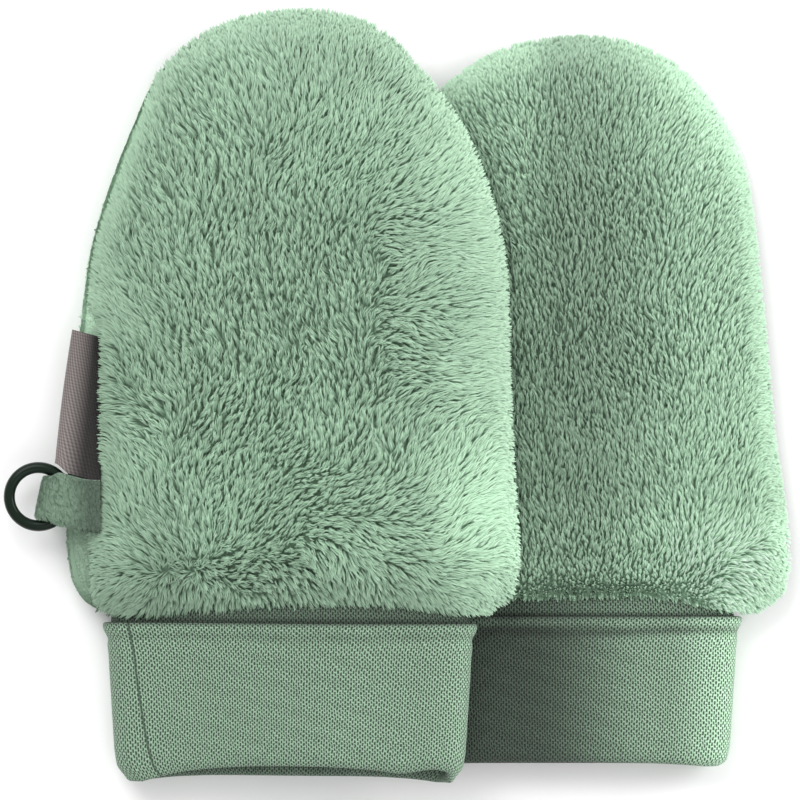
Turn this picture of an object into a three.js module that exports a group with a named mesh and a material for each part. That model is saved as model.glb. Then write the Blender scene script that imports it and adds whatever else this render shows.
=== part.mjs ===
// A pair of thumbless baby mittens laid flat, the left one lying over the edge of the right one.
// Each mitten is two plush panels sewn together round the edge and a knitted cuff that is turned up.
// The left mitten has a folded woven label and a fleece loop with a ring in its side seam.
// Millimetres, +Z up. The underside lies on z = 0, the fingertips point to +Y and the front faces +Z.
import * as THREE from "three";
import { mergeVertices } from "three/addons/utils/BufferGeometryUtils.js";

const { lerp, clamp, smoothstep } = THREE.MathUtils;

// Heights of the plush panels, from the table to the tips of the pile.
const SEAM_HEIGHT = 5.8;
const SEAM_GAP = 0.3;
const CROWN_RISE = 9.6;
const FRONT_BULGE = 2.6;
const BACK_BULGE = 3.1;
const FLAT_SHARE = 0.84;
const CROWN_POWER = 4;
const SEAM_INSET = 1.5;
const RING_CENTRE_UP = 58;

// Layers of the cuff, measured outwards from the middle of the flattened tube.
const MOUTH_HALF = 1.0;
const SLEEVE_OUT = 2.4;
const BAND_IN = 2.7;
const BAND_OUT = 4.25;
const CUFF_REST_HEIGHT = BAND_OUT;
const CUFF_DROOP_END = 18;
const ROOT_CLEARANCE = 0.5;
const ROOT_FADE = { start: 6.5, end: 16 };
const ROOT_SIDE_FADE = 4;

// How far the left mitten climbs onto the right one.
const CLIMB = { height: 11.6, mouthHeight: 9.7, width: 46, endAtSeam: 15.5, lean: 0.17 };
// How far the right mitten's pile is pressed down under the left one.
const PRESS = { share: 0.45, before: 5, after: 14 };

// Mesh fineness.
const COLUMNS = 64;
const CROWN_RINGS = 7;
const INNER_RINGS = [0.94, 0.86, 0.6, 0.3];
const CUFF_STRAIGHT_STEPS = 13;
const CUFF_TURN_STEPS = 6;

// Sections across each mitten, from the cuff seam up to the tip. left and right are the silhouette,
// roll is how far the back panel comes round to the front at the left before the front panel starts.
const LEFT_MITTEN = {
  place: { x: -21.9, y: -45.1 },
  sections: [
    { up: -0.6, left: -36.5, right: 40.0, roll: 1.0 },
    { up: 2.2, left: -43.2, right: 45.4, roll: 3.9 },
    { up: 6.7, left: -46.0, right: 47.0, roll: 6.2 },
    { up: 12.3, left: -46.9, right: 47.3, roll: 7.2 },
    { up: 20.2, left: -47.0, right: 46.8, roll: 6.8 },
    { up: 33.7, left: -46.5, right: 46.0, roll: 5.9 },
    { up: 48.0, left: -45.3, right: 45.5, roll: 4.8 },
    { up: 62.8, left: -43.7, right: 44.9, roll: 3.5 },
    { up: 75.3, left: -42.0, right: 44.0, roll: 2.7 },
    { up: 87.8, left: -38.3, right: 40.9, roll: 2.7 },
    { up: 100.3, left: -33.5, right: 35.8, roll: 1.5 },
    { up: 112.7, left: -27.4, right: 26.9, roll: 0.5 },
    { up: 120.8, left: -16.4, right: 19.1, roll: 0.0 },
    { up: 124.4, left: -6.5, right: 11.0, roll: 0.0 },
  ],
  tip: { x: 3.1, up: 125.5 },
  base: [
    { x: -22, up: 0.4 },
    { x: 0, up: 1.5 },
    { x: 22, up: 1.6 },
  ],
  dents: [
    { x: 14, up: 76, reach: 15, depth: 1.3 },
    { x: -22, up: 36, reach: 13, depth: 1.1 },
    { x: 8, up: 28, reach: 12, depth: -0.8 },
    { x: -12, up: 98, reach: 13, depth: 0.7 },
  ],
  cuff: { shift: -0.4, length: 34.4, arch: 2.3, crown: 1.2 },
};

const RIGHT_MITTEN = {
  place: { x: 34.8, y: -43.9 },
  sections: [
    { up: -1.5, left: -36.5, right: 38.4, roll: 0 },
    { up: 0.9, left: -43.6, right: 44.4, roll: 0 },
    { up: 4.8, left: -46.4, right: 46.6, roll: 0 },
    { up: 11.0, left: -47.0, right: 47.0, roll: 0 },
    { up: 22.7, left: -46.2, right: 45.9, roll: 0 },
    { up: 34.5, left: -45.2, right: 44.2, roll: 0 },
    { up: 51.8, left: -43.6, right: 42.8, roll: 0 },
    { up: 66.1, left: -41.5, right: 41.3, roll: 0 },
    { up: 80.9, left: -38.4, right: 39.4, roll: 0 },
    { up: 93.2, left: -34.2, right: 36.9, roll: 0 },
    { up: 103.8, left: -28.4, right: 31.4, roll: 0 },
    { up: 110.9, left: -20.6, right: 25.4, roll: 0 },
    { up: 115.7, left: -12.4, right: 17.8, roll: 0 },
    { up: 117.7, left: -3.4, right: 11.8, roll: 0 },
  ],
  tip: { x: 4.6, up: 118.4 },
  base: [
    { x: -22, up: 0.6 },
    { x: 0, up: 1.6 },
    { x: 22, up: 1.4 },
  ],
  dents: [
    { x: 12, up: 40, reach: 15, depth: 1.2 },
    { x: 6, up: 84, reach: 14, depth: 0.8 },
    { x: 26, up: 16, reach: 10, depth: -0.6 },
  ],
  cuff: { shift: -1.7, length: 33.3, arch: 0.4, crown: 0.5 },
};

// Half the width of the cuff's silhouette on its way down from the seam.
const CUFF_HALF_WIDTHS = [
  { down: -6, half: 38.0 },
  { down: 2.4, half: 39.3 },
  { down: 5, half: 38.7 },
  { down: 9, half: 37.9 },
  { down: 18, half: 37.3 },
  { down: 29, half: 36.7 },
  { down: 32.5, half: 36.2 },
  { down: 34.4, half: 34.9 },
];

// The cuff's wall from its hidden root down the inside, round the turned edge and up the band to its
// free edge, then back between band and sleeve. down is a share of the cuff's length.
const CUFF_WALL = [
  { down: -0.17, out: MOUTH_HALF },
  { down: 0.0, out: MOUTH_HALF },
  { down: 0.16, out: MOUTH_HALF },
  { down: 0.35, out: MOUTH_HALF },
  { down: 0.6, out: MOUTH_HALF },
  { down: 0.95, out: MOUTH_HALF },
  { down: 0.985, out: 1.6 },
  { down: 1.0, out: 2.6 },
  { down: 0.988, out: 3.5 },
  { down: 0.955, out: 4.1 },
  { down: 0.88, out: BAND_OUT },
  { down: 0.6, out: BAND_OUT },
  { down: 0.36, out: BAND_OUT },
  { down: 0.23, out: 4.1 },
  { down: 0.165, out: 3.55 },
  { down: 0.12, out: 4.1 },
  { down: 0.085, out: BAND_OUT },
  { down: 0.068, out: 3.85 },
  { down: 0.064, out: 3.3 },
  { down: 0.078, out: BAND_IN },
  { down: 0.2, out: BAND_IN },
  { down: 0.35, out: BAND_IN },
  { down: 0.6, out: BAND_IN },
  { down: 0.93, out: BAND_IN },
  { down: 0.93, out: SLEEVE_OUT },
  { down: 0.6, out: SLEEVE_OUT },
  { down: 0.35, out: SLEEVE_OUT },
  { down: 0.2, out: SLEEVE_OUT },
  { down: 0.08, out: SLEEVE_OUT },
  { down: 0.0, out: SLEEVE_OUT },
  { down: -0.17, out: SLEEVE_OUT },
];

// The loop, the ring that it holds and the label, all placed from the left mitten's axis and cuff seam.
const RING = { x: -52.8, up: 23.9, z: 7.4, outer: 7.2, inner: 4.9, sides: 12, steps: 48 };
const LOOP = { wall: 1.1, clearance: 0.35, foldX: -52.7, rootX: -40.9, foldHalf: 4.4, half: 5.3 };
LOOP.skew = -1.8;
LOOP.rootZ = 7.25;
LOOP.rootSpread = 0.75;
const LABEL = { wall: 0.8, rootTop: -40.7, rootBottom: -41.0, foldTop: -45.8, foldBottom: -49.4 };
LABEL.upTop = 58.8;
LABEL.upBottom = 29.9;
LABEL.endSlant = -1.7;
LABEL.roll = 1.35;
LABEL.rootZ = 6.95;
LABEL.foldZ = 7.6;

const plush = new THREE.MeshStandardMaterial({ color: 0x93b897, roughness: 0.95, metalness: 0 });
const ribKnit = new THREE.MeshStandardMaterial({ color: 0x83a488, roughness: 0.9, metalness: 0 });
const wovenLabel = new THREE.MeshStandardMaterial({ color: 0x85807e, roughness: 0.55, metalness: 0 });
const fleece = new THREE.MeshStandardMaterial({ color: 0x86a88b, roughness: 0.95, metalness: 0 });
const ringPlastic = new THREE.MeshStandardMaterial({ color: 0x1f2a22, roughness: 0.35, metalness: 0 });

// The value of one column of a table at a place between two of its rows.
function lookUp(rows, key, at, column) {
  const next = rows.findIndex((row) => row[key] >= at);
  if (next === -1) return rows[rows.length - 1][column];
  if (next === 0) return rows[0][column];
  const [low, high] = [rows[next - 1], rows[next]];
  return lerp(low[column], high[column], (at - low[key]) / (high[key] - low[key]));
}

// A closed surface over rings of equally many points. Rings close on themselves, and the row of rings
// either closes too or ends in the two points of caps. otherDiagonal turns the cut of each quad.
function skin(rings, caps, otherDiagonal) {
  const across = rings[0].length;
  const points = rings.flat();
  const index = [];
  const at = (ring, column) => ring * across + (column % across);
  const last = caps ? rings.length - 1 : rings.length;
  for (let ring = 0; ring < last; ring++) {
    const next = (ring + 1) % rings.length;
    for (let column = 0; column < across; column++) {
      const [a, b] = [at(ring, column), at(ring, column + 1)];
      const [c, d] = [at(next, column + 1), at(next, column)];
      index.push(...(otherDiagonal ? [a, b, d, b, c, d] : [a, b, c, a, c, d]));
    }
  }
  if (caps) {
    const first = points.push(caps[0]) - 1;
    const end = points.push(caps[1]) - 1;
    for (let column = 0; column < across; column++) {
      index.push(first, at(0, column + 1), at(0, column));
      index.push(end, at(rings.length - 1, column), at(rings.length - 1, column + 1));
    }
  }
  const geometry = new THREE.BufferGeometry().setFromPoints(points);
  geometry.setIndex(index);
  geometry.computeVertexNormals();
  return geometry;
}

function named(name, geometry, material) {
  const mesh = new THREE.Mesh(geometry, material);
  mesh.name = name;
  return mesh;
}

// The closed outline of a mitten, drawn in from the silhouette by insetLeft and insetRight.
function outline(mitten, insetLeft, insetRight) {
  const inwards = (row) => Math.min(1, Math.max(0, (row.up + 2) / 8));
  const rightSide = mitten.sections.map((row) => [row.right - insetRight(row), row.up]);
  const leftSide = mitten.sections.map((row) => [row.left + insetLeft(row), row.up]).reverse();
  const raise = insetRight();
  const tip = [[mitten.tip.x, mitten.tip.up - raise]];
  const shrink = (x, up) => [x, up + raise * (1 - inwards({ up }))];
  const points = [
    ...mitten.base.map((row) => shrink(row.x, row.up)),
    ...rightSide.map(([x, up]) => (up < 100 ? shrink(x, up) : [x, up - raise * (up - 100) / 26])),
    ...tip,
    ...leftSide.map(([x, up]) => (up < 100 ? shrink(x, up) : [x, up - raise * (up - 100) / 26])),
  ];
  const curve = new THREE.CatmullRomCurve3(
    points.map(([x, up]) => new THREE.Vector3(x, up, 0)),
    true,
    "centripetal",
  );
  return curve.getSpacedPoints(720);
}

// The distance from the mitten's middle to an outline, as a function of the direction.
function reachOf(points) {
  const rows = points
    .map((p) => ({
      angle: Math.atan2(p.y - RING_CENTRE_UP, p.x),
      reach: Math.hypot(p.x, p.y - RING_CENTRE_UP),
    }))
    .sort((a, b) => a.angle - b.angle);
  const turned = (row, by) => ({ angle: row.angle + by, reach: row.reach });
  const round = [turned(rows[rows.length - 1], -2 * Math.PI), ...rows, turned(rows[0], 2 * Math.PI)];
  return (angle) => lookUp(round, "angle", angle, "reach");
}

// How far the panels stand apart from the seam's level, to let the cuff's root in.
function partingAt(mitten, x, up) {
  const half = lookUp(CUFF_HALF_WIDTHS, "down", 0, "half") - BAND_OUT + SLEEVE_OUT;
  const side = 1 - smoothstep(Math.abs(x - mitten.cuff.shift), half + 0.4, half + ROOT_SIDE_FADE);
  const deep = 1 - smoothstep(up, ROOT_FADE.start, ROOT_FADE.end);
  return SEAM_GAP / 2 + (SLEEVE_OUT + ROOT_CLEARANCE - SEAM_GAP / 2) * side * deep;
}

function dentAt(mitten, x, up) {
  return mitten.dents.reduce((sum, dent) => {
    const away = Math.hypot(x - dent.x, up - dent.up) / dent.reach;
    return sum + dent.depth * Math.exp(-away * away);
  }, 0);
}

// The left mitten climbs in an S-shaped ramp that leans as the right mitten's edge does.
function climbAt(x, up) {
  const end = CLIMB.endAtSeam + CLIMB.lean * up;
  const full = up < 0 ? lerp(CLIMB.height, CLIMB.mouthHeight, clamp(-up / 34, 0, 1)) : CLIMB.height;
  return full * smoothstep(x, end - CLIMB.width, end);
}

// The share by which the right mitten's front is pressed down at a place under the left mitten.
function pressAt(x, up) {
  const shiftX = RIGHT_MITTEN.place.x - LEFT_MITTEN.place.x;
  const shiftUp = RIGHT_MITTEN.place.y - LEFT_MITTEN.place.y;
  const edge = lookUp(LEFT_MITTEN.sections, "up", up + shiftUp, "right") - shiftX;
  return PRESS.share * (1 - smoothstep(x, edge - PRESS.before, edge + PRESS.after));
}

const climbs = { left: climbAt, right: () => 0 };
const presses = { left: () => 0, right: pressAt };

// Both plush panels of a mitten: rings run from the middle out to the rim and back inside to the middle.
function plushPanels(side, mitten) {
  const seamLine = outline(mitten, (row) => row.roll + SEAM_INSET, () => SEAM_INSET);
  const frontLine = outline(mitten, (row) => row.roll, () => 0);
  const backLine = outline(mitten, () => 0, () => 0);
  const [seamReach, frontReach, backReach] = [seamLine, frontLine, backLine].map(reachOf);
  const step = (seamLine.length - 1) / COLUMNS;
  const angles = Array.from({ length: COLUMNS }, (_, i) => {
    const p = seamLine[Math.round(i * step)];
    return Math.atan2(p.y - RING_CENTRE_UP, p.x);
  });
  const point = (angle, reach, heightAt) => {
    const [x, up] = [reach * Math.cos(angle), RING_CENTRE_UP + reach * Math.sin(angle)];
    const z = heightAt(x, up) + climbs[side](x, up);
    return new THREE.Vector3(x, up, z);
  };
  const ring = (reachAt, heightAt) =>
    angles.map((angle) => point(angle, reachAt(angle), (x, up) => heightAt(x, up, angle)));
  const parting = (x, up) => partingAt(mitten, x, up);

  // The front panel's outer height over the seam, at a share of the way out from the middle.
  const bulge = (x, up) => Math.max(FRONT_BULGE, parting(x, up) + 1.6);
  const frontHeight = (share) => (x, up) => {
    const crown = Math.sqrt(1 - share ** CROWN_POWER);
    const full = bulge(x, up) + (CROWN_RISE - dentAt(mitten, x, up) - bulge(x, up)) * crown;
    const inner = parting(x, up);
    return SEAM_HEIGHT + inner + (full - inner) * (1 - presses[side](x, up));
  };
  const frontRings = [];
  for (let k = 1; k <= CROWN_RINGS; k++) {
    const share = Math.sin((k / CROWN_RINGS) * Math.PI / 2);
    frontRings.push(ring((angle) => share * frontReach(angle), frontHeight(share)));
  }
  for (const turn of [Math.PI / 4, Math.PI / 2]) {
    const reachAt = (angle) => lerp(seamReach(angle), frontReach(angle), Math.cos(turn));
    const heightAt = (x, up) => {
      const inner = SEAM_HEIGHT + parting(x, up);
      return inner + (frontHeight(1)(x, up) - inner) * (1 - Math.sin(turn)) * 0.9;
    };
    frontRings.push(ring(reachAt, heightAt));
  }
  for (const share of INNER_RINGS) {
    frontRings.push(
      ring((angle) => share * seamReach(angle), (x, up) => SEAM_HEIGHT + parting(x, up)),
    );
  }
  const frontPoles = [
    point(0, 0, frontHeight(0)),
    point(0, 0, (x, up) => SEAM_HEIGHT + parting(x, up)),
  ];

  // The back panel lies flat on the table and turns up at its rim to the seam.
  const rimHeight = (x, up) => Math.min(BACK_BULGE, (SEAM_HEIGHT - parting(x, up)) * 0.53);
  const backRings = [];
  for (const share of [0.3, 0.6, FLAT_SHARE]) {
    backRings.push(ring((angle) => share * backReach(angle), () => 0));
  }
  for (const turn of [0.3, 0.6, 0.85, 1]) {
    const part = turn * Math.PI / 2;
    backRings.push(
      ring(
        (angle) => lerp(FLAT_SHARE, 1, Math.sin(part)) * backReach(angle),
        (x, up) => rimHeight(x, up) * (1 - Math.cos(part)),
      ),
    );
  }
  for (const turn of [0.35, 0.7, 1]) {
    const part = turn * Math.PI / 2;
    backRings.push(
      ring(
        (angle) => lerp(seamReach(angle), backReach(angle), Math.cos(part)),
        (x, up) => lerp(rimHeight(x, up), SEAM_HEIGHT - parting(x, up), Math.sin(part)),
      ),
    );
  }
  for (const share of INNER_RINGS) {
    backRings.push(
      ring((angle) => share * seamReach(angle), (x, up) => SEAM_HEIGHT - parting(x, up)),
    );
  }
  const backPoles = [
    point(0, 0, () => 0),
    point(0, 0, (x, up) => SEAM_HEIGHT - parting(x, up)),
  ];
  return [
    named(side + "_front_panel", skin(frontRings.reverse(), frontPoles.reverse(), true), plush),
    named(side + "_back_panel", skin(backRings, backPoles), plush),
  ];
}

// The path round the flattened cuff as places along its middle line and the outward direction there.
function cuffStations() {
  const stations = [];
  for (let i = 0; i < CUFF_STRAIGHT_STEPS; i++) {
    stations.push({ along: 1 - (2 * i) / CUFF_STRAIGHT_STEPS, turn: Math.PI / 2 });
  }
  for (let i = 0; i < CUFF_TURN_STEPS; i++) {
    stations.push({ along: -1, turn: Math.PI / 2 + (Math.PI * i) / CUFF_TURN_STEPS });
  }
  for (let i = 0; i < CUFF_STRAIGHT_STEPS; i++) {
    stations.push({ along: -1 + (2 * i) / CUFF_STRAIGHT_STEPS, turn: -Math.PI / 2 });
  }
  for (let i = 0; i < CUFF_TURN_STEPS; i++) {
    stations.push({ along: 1, turn: -Math.PI / 2 + (Math.PI * i) / CUFF_TURN_STEPS });
  }
  return stations;
}

// The cuff: its wall's profile carried round the flattened tube, drooping from the seam to the table.
function cuff(side, mitten) {
  const { shift, length, arch, crown } = mitten.cuff;
  const rings = cuffStations().map(({ along, turn }) =>
    CUFF_WALL.map((row) => {
      const upper = Math.max(0, Math.sin(turn));
      const middle = 1 - along * along;
      const full = row.down * length;
      const down = full - arch * upper * middle * smoothstep(full, 0.35 * length, length);
      const half = lookUp(CUFF_HALF_WIDTHS, "down", down, "half") - BAND_OUT;
      const x = shift + along * half + row.out * Math.cos(turn);
      const level = lerp(SEAM_HEIGHT, CUFF_REST_HEIGHT, smoothstep(down, 0, CUFF_DROOP_END));
      const bow = crown * upper * middle * smoothstep(down, 0, length);
      const z = level + row.out * Math.sin(turn) + bow;
      return new THREE.Vector3(x, -down, z + climbs[side](x, -down));
    }),
  );
  return named(side + "_cuff", skin(rings), ribKnit);
}

// The centre line of a strip folded over at its left end, as x and z from one root to the other.
function foldedPath({ rootX, rootZ, rootSpread, foldX, foldZ, foldHalf }) {
  const straight = [0, 0.12, 0.25, 0.38, 0.5, 0.75].map((share) => ({
    x: lerp(rootX, foldX + foldHalf, share),
    z: lerp(rootZ, foldZ, smoothstep(share, 0, 0.5)),
    spread: lerp(rootSpread, foldHalf, smoothstep(share, 0, 0.5)),
  }));
  const lower = straight.map(({ x, z, spread }) => ({ x, z: z - spread }));
  const upper = straight.map(({ x, z, spread }) => ({ x, z: z + spread })).reverse();
  const bend = [0, 1, 2, 3, 4, 5, 6].map((step) => {
    const turn = (Math.PI * step) / 6;
    return {
      x: foldX + foldHalf - foldHalf * Math.sin(turn),
      z: foldZ - foldHalf * Math.cos(turn),
    };
  });
  return [...lower, ...bend, ...upper];
}

// The direction square to a path in the x-z plane at one of its points.
function acrossPath(path, i) {
  const [before, after] = [path[Math.max(0, i - 1)], path[Math.min(path.length - 1, i + 1)]];
  const [dx, dz] = [after.x - before.x, after.z - before.z];
  const long = Math.hypot(dx, dz);
  return { x: -dz / long, z: dx / long };
}

// The loop: a fleece strip folded through the ring, narrow in the ring's hole and wide beyond it.
function hangingLoop() {
  const ringHalf = (RING.outer - RING.inner) / 2;
  const path = foldedPath({
    rootX: LOOP.rootX,
    rootZ: LOOP.rootZ,
    rootSpread: LOOP.rootSpread,
    foldX: LOOP.foldX + LOOP.wall / 2,
    foldZ: RING.z,
    foldHalf: ringHalf + LOOP.clearance + LOOP.wall / 2,
  });
  const rings = path.map((p, i) => {
    const square = acrossPath(path, i);
    const open = smoothstep(p.x, LOOP.foldX + 1.8, LOOP.foldX + 4.2);
    const half = lerp(LOOP.foldHalf, LOOP.half, open);
    const middle = RING.up + LOOP.skew * smoothstep(p.x, LOOP.foldX + 1.8, LOOP.rootX);
    const corners = [
      [-1, -0.3], [-0.96, -0.5], [0.96, -0.5], [1, -0.3],
      [1, 0.3], [0.96, 0.5], [-0.96, 0.5], [-1, 0.3],
    ];
    return corners.map(
      ([wide, thick]) =>
        new THREE.Vector3(
          p.x + square.x * thick * LOOP.wall,
          middle + wide * half,
          p.z + square.z * thick * LOOP.wall,
        ),
    );
  });
  const capOf = (ring) =>
    ring.reduce((sum, p) => sum.add(p), new THREE.Vector3()).divideScalar(ring.length);
  return named("hanging_loop", skin(rings, [capOf(rings[0]), capOf(rings[rings.length - 1])]), fleece);
}

// The ring: a moulded round section turned about its own axis.
function hangingRing() {
  const middle = (RING.outer + RING.inner) / 2;
  const half = (RING.outer - RING.inner) / 2;
  const profile = Array.from({ length: RING.sides + 1 }, (_, i) => {
    const turn = (2 * Math.PI * (i % RING.sides)) / RING.sides;
    return new THREE.Vector2(middle + half * Math.cos(turn), half * Math.sin(turn));
  });
  const geometry = new THREE.LatheGeometry(profile, RING.steps);
  geometry.deleteAttribute("normal");
  geometry.deleteAttribute("uv");
  const mesh = named("hanging_ring", mergeVertices(geometry, 1e-4), ringPlastic);
  mesh.rotation.x = Math.PI / 2;
  mesh.position.set(RING.x, RING.up, RING.z);
  return mesh;
}

// The label: a woven strip folded lengthwise, its rolled fold outside and its edges at the seam.
function sideLabel() {
  const stations = [0, 0.02, 0.2, 0.4, 0.6, 0.8, 0.98, 1];
  const rings = stations.map((share) => {
    const path = foldedPath({
      rootX: lerp(LABEL.rootTop, LABEL.rootBottom, share),
      rootZ: LABEL.rootZ,
      rootSpread: LABEL.wall / 2 + 0.1,
      foldX: lerp(LABEL.foldTop, LABEL.foldBottom, share) + LABEL.wall / 2,
      foldZ: LABEL.foldZ,
      foldHalf: LABEL.roll - LABEL.wall / 2,
    });
    const side = (thick) =>
      path.map((p, i) => {
        const square = acrossPath(path, i);
        const slant = LABEL.endSlant * (p.x - LABEL.foldTop) / (LABEL.rootTop - LABEL.foldTop) * 0.8;
        return new THREE.Vector3(
          p.x + square.x * thick,
          lerp(LABEL.upTop, LABEL.upBottom, share) + slant,
          p.z + square.z * thick,
        );
      });
    return [...side(LABEL.wall / 2), ...side(-LABEL.wall / 2).reverse()];
  });
  return named("side_label", foldedSolid(rings), wovenLabel);
}

// A closed solid over rings that are folded strips: the ends are filled between the strip's two sides.
function foldedSolid(rings) {
  const across = rings[0].length;
  const points = rings.flat();
  const index = [];
  const at = (ring, column) => ring * across + (column % across);
  for (let ring = 0; ring < rings.length - 1; ring++) {
    for (let column = 0; column < across; column++) {
      const [a, b] = [at(ring, column), at(ring, column + 1)];
      const [c, d] = [at(ring + 1, column + 1), at(ring + 1, column)];
      index.push(a, c, b, a, d, c);
    }
  }
  const last = rings.length - 1;
  for (let column = 0; column < across / 2 - 1; column++) {
    const partner = across - 1 - column;
    const [a, b, c, d] = [column, column + 1, partner - 1, partner];
    index.push(at(0, a), at(0, b), at(0, c), at(0, a), at(0, c), at(0, d));
    index.push(at(last, a), at(last, c), at(last, b), at(last, a), at(last, d), at(last, c));
  }
  const geometry = new THREE.BufferGeometry().setFromPoints(points);
  geometry.setIndex(index);
  geometry.computeVertexNormals();
  return geometry;
}

const leftMitten = new THREE.Group();
leftMitten.add(...plushPanels("left", LEFT_MITTEN), cuff("left", LEFT_MITTEN));
leftMitten.add(hangingLoop(), hangingRing(), sideLabel());
leftMitten.position.set(LEFT_MITTEN.place.x, LEFT_MITTEN.place.y, 0);

const rightMitten = new THREE.Group();
rightMitten.add(...plushPanels("right", RIGHT_MITTEN), cuff("right", RIGHT_MITTEN));
rightMitten.position.set(RIGHT_MITTEN.place.x, RIGHT_MITTEN.place.y, 0);

const pair = new THREE.Group();
pair.add(leftMitten, rightMitten);
const box = new THREE.Box3().setFromObject(pair, true);
pair.position.set(-(box.min.x + box.max.x) / 2, -(box.min.y + box.max.y) / 2, 0);

export default pair;
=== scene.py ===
"""Looks of a pair of plush baby mittens laid flat: cloth, pile, knitted cuffs, label, loop and ring.

All sizes are in millimetres until make_mesh turns them into metres.
"""

import math

import bpy
import numpy as np
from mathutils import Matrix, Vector
from mathutils.bvhtree import BVHTree


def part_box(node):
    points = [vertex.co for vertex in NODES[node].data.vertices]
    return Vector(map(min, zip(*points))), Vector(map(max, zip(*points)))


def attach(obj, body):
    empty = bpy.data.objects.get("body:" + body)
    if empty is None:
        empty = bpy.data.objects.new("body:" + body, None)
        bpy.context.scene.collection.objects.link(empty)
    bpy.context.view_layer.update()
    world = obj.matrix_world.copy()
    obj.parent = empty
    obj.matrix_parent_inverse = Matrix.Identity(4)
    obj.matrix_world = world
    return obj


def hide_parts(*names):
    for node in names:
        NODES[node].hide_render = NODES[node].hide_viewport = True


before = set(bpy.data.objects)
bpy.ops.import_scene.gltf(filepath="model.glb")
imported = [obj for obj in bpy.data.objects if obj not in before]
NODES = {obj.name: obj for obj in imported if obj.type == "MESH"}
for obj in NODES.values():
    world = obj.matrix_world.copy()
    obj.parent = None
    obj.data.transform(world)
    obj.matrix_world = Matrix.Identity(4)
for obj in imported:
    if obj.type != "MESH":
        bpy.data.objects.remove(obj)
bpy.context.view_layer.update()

MM = 0.001
TURN = 2 * math.pi


def table(columns, rows):
    """Rows of numbers as one array for each named column."""
    return {name: np.array(values, float) for name, values in zip(columns.split(), zip(*rows))}


# Where each cuff begins, in the middle of its top, before the pair was centred, and the ring's
# place and the plush part's middle from there.
LEFT_PLACE = np.array([-21.9, -45.1])
RIGHT_PLACE = np.array([34.8, -43.9])
RING_LOCAL = np.array([-52.8, 23.9])
MIDDLE_UP = 58.0

# The cuff and how the left mitten climbs onto the right one, as in the part's source.
SEAM_HEIGHT = 5.8
CUFF_REST_HEIGHT = 4.25
CUFF_DROOP_END = 18.0
BAND_OUT = 4.25
CLIMB = {"height": 11.6, "mouth": 9.7, "mouth_down": 34.0, "width": 46.0, "end": 15.5, "lean": 0.17}
# arch lifts the mouth's middle, crown the upper layer, corners let the mouth's ends hang, and
# drawn_up pulls up its right one. groove is how dark the painted shade in the groove under the
# rolled edge is, and lit is the painted light: how much lighter the band is to the right of lit_from.
CUFFS = {
    "left": {"place": LEFT_PLACE, "shift": -0.4, "length": 34.4, "arch": 2.3, "crown": 1.2,
             "groove": 0.16, "corners": 1.3, "drawn_up": 2.6, "lit_from": 4.0, "lit": 0.2},
    "right": {"place": RIGHT_PLACE, "shift": -1.7, "length": 33.3, "arch": 0.4, "crown": 0.5,
              "groove": 0.55, "corners": 0.5, "drawn_up": 0.0, "lit_from": 56.0, "lit": 0.8},
}
CUFF_HALF_WIDTHS = table("down half", [
    (-6.0, 38.0),
    (2.4, 39.3),
    (5.0, 38.7),
    (9.0, 37.9),
    (18.0, 37.3),
    (29.0, 36.7),
    (32.5, 36.2),
    (34.4, 34.9),
])
# The turned up band, from between band and sleeve over its rolled edge to the mouth and inside,
# and the sleeve above it. down is a share of the cuff's length.
BAND_PROFILE = table("down out", [
    (0.34, 2.85),
    (0.10, 2.85),
    (0.070, 3.05),
    (0.062, 3.5),
    (0.068, 3.95),
    (0.085, 4.25),
    (0.115, 4.2),
    (0.145, 3.9),
    (0.160, 3.55),
    (0.172, 3.6),
    (0.195, 4.0),
    (0.25, 4.2),
    (0.40, 4.3),
    (0.60, 4.3),
    (0.88, 4.2),
    (0.955, 4.0),
    (0.988, 3.4),
    (1.0, 2.6),
    (0.985, 1.7),
    (0.95, 1.1),
    (0.60, 1.05),
    (0.10, 1.05),
])
SLEEVE_PROFILE = table("down out", [
    (-0.16, 2.35),
    (0.0, 2.35),
    (0.33, 2.35),
])
# How far down the band's rolled edge is, and the groove's depth under it.
ROLL_DOWN = 0.065
GROOVE_DOWN = 3.3
# Where the left cuff's side seam shows on its front, and the x of that cuff's right edge.
SEAM = table("x y", [
    (-55.8, -47.4),
    (-53.9, -59.7),
    (-53.1, -68.0),
    (-50.6, -77.0),
])
LEFT_CUFF_EDGE = 16.0
# The knit's columns and rows, and the label weave's ridges and picks.
WALE = 1.06
COURSE = 1.03
RIDGE = 0.5
PICK = 0.62

# The folded label, loop and ring, from the left mitten's place. The root is inside the seam.
LABEL = {
    "root": -39.8, "root_level": 6.95, "root_spread": 0.5,
    "fold_top": -45.8, "fold_foot": -49.4, "fold_in": 0.4, "fold_level": 7.6, "fold_half": 0.95,
    "top": 58.8, "foot": 29.9, "bow": 0.25, "half_thick": 0.36, "rows": 90,
    "slant": -1.36, "slant_over": 5.1, "foot_drop": 1.3, "woven_length": 29.0,
}
LOOP = {
    "root": -39.9, "root_level": 7.25, "root_spread": 0.75,
    "fold": -52.7, "fold_in": 0.55, "fold_level": 7.4, "fold_half": 2.05,
    "in_ring": 1.8, "wide_from": 4.2, "narrow_half": 4.4, "wide_half": 5.3,
    "middle": 23.9, "drop": 1.8, "drop_until": -40.9, "half_thick": 0.5, "lean": 0.9, "lean_until": -46.0,
}
RING = {"radius": 6.05, "wire": 1.15, "mould_line": 0.03, "mould_width": 0.12}

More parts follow.
